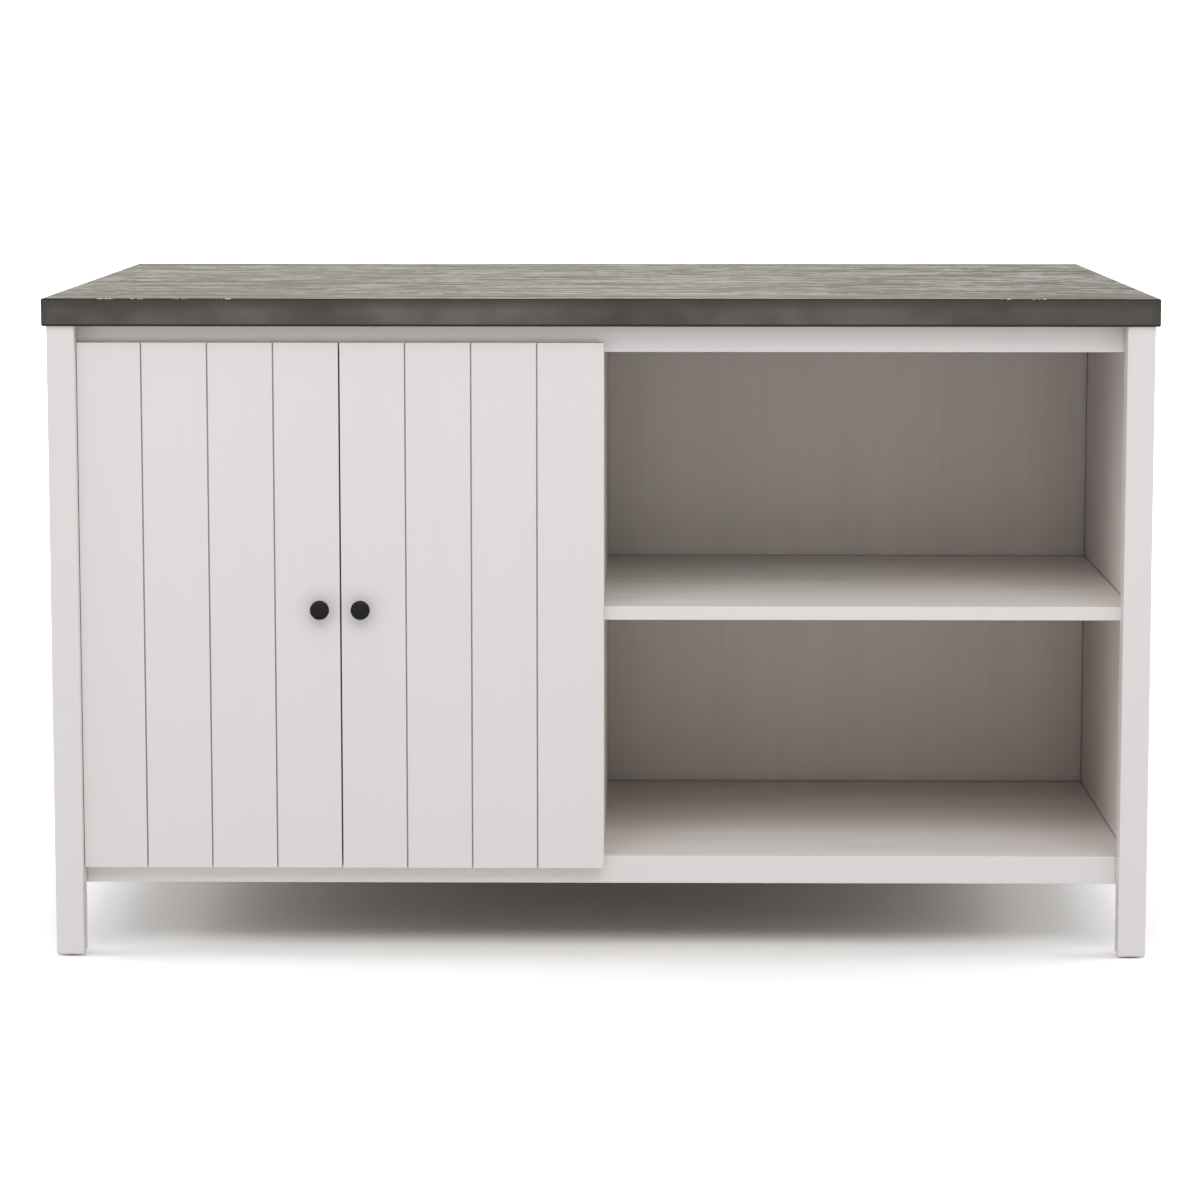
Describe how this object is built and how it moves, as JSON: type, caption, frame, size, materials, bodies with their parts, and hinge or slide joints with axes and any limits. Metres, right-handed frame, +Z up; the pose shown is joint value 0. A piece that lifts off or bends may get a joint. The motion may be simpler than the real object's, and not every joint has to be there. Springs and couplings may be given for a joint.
{
  "type": "counter height dining table",
  "caption": "Counter-height dining table with a thick grey wood top, painted square legs, a plank-door cupboard beside open shelves, and rear knee space.",
  "frame": {"origin": "on the floor, under the middle of the table top", "axes": "+X to the right seen from the door side, -Y out of the doors, +Z up"},
  "size_m": [1.524, 1.0668, 0.9144],
  "materials": {
    "grey_oak": "satin, weathered grey stain with brushed grain",
    "white_paint": "satin off-white paint over wood",
    "raw_wood": "bare beech",
    "steel": "zinc plated",
    "white_steel": "off-white powder coat",
    "black_knob": "matte black",
    "dark_plastic": "matte",
    "white_plastic": "matte",
    "clear_rubber": "soft, milky"
  },
  "bodies": {
    "table": {"table_top": "grey_oak", "front_left_leg": "white_paint", "front_right_leg": "white_paint", "rear_left_leg": "white_paint", "rear_right_leg": "white_paint", "left_cabinet_foot": "white_paint", "right_cabinet_foot": "white_paint", "front_top_rail": "white_paint", "front_bottom_rail": "white_paint", "cabinet_rear_rail": "white_paint", "left_side_panel": "white_paint", "right_side_panel": "white_paint", "centre_divider": "white_paint", "bottom_panel": "white_paint", "back_panel": "white_paint", "right_fixed_shelf": "white_paint", "left_adjustable_shelf": "white_paint", "cabinet_kick_board": "white_paint", "rear_apron": "white_paint", "left_side_apron": "white_paint", "right_side_apron": "white_paint", "rear_left_corner_block": "raw_wood", "rear_right_corner_block": "raw_wood", "leg_dowels": "raw_wood", "rail_dowels": "raw_wood", "apron_dowels": "raw_wood", "panel_dowels": "raw_wood", "hanger_bolts": "steel", "hanger_nuts": "steel", "cam_bolts": "steel", "cam_locks": "steel", "shelf_pins": "steel", "back_panel_screws": "steel", "top_fixing_brackets": "steel", "top_fixing_screws": "steel", "pivot_bracket_screws": "steel", "pivot_pins": "steel", "catch_screws": "steel", "left_door_top_pivot_bracket": "white_steel", "left_door_bottom_pivot_bracket": "white_steel", "right_door_top_pivot_bracket": "white_steel", "right_door_bottom_pivot_bracket": "white_steel", "foot_glides": "dark_plastic", "catch_magnets": "dark_plastic", "left_door_catch": "white_plastic", "right_door_catch": "white_plastic"},
    "left_door": {"left_door": "white_paint", "left_knob": "black_knob", "left_knob_screw": "steel", "left_door_pivot_bushes": "white_plastic", "left_strike_plate": "steel", "left_strike_screws": "steel", "left_door_bumpers": "clear_rubber"},
    "right_door": {"right_door": "white_paint", "right_knob": "black_knob", "right_knob_screw": "steel", "right_door_pivot_bushes": "white_plastic", "right_strike_plate": "steel", "right_strike_screws": "steel", "right_door_bumpers": "clear_rubber"}
  },
  "joints": [
    {"name": "left_door_hinge", "type": "hinge", "parent": "table", "child": "left_door", "pos_m": [-0.7051, -0.5069, 0.4879], "axis": [0, 0, -1], "range_deg": [0, 95]},
    {"name": "right_door_hinge", "type": "hinge", "parent": "table", "child": "right_door", "pos_m": [-0.0074, -0.5069, 0.4879], "axis": [0, 0, 1], "range_deg": [0, 95]}
  ]
}
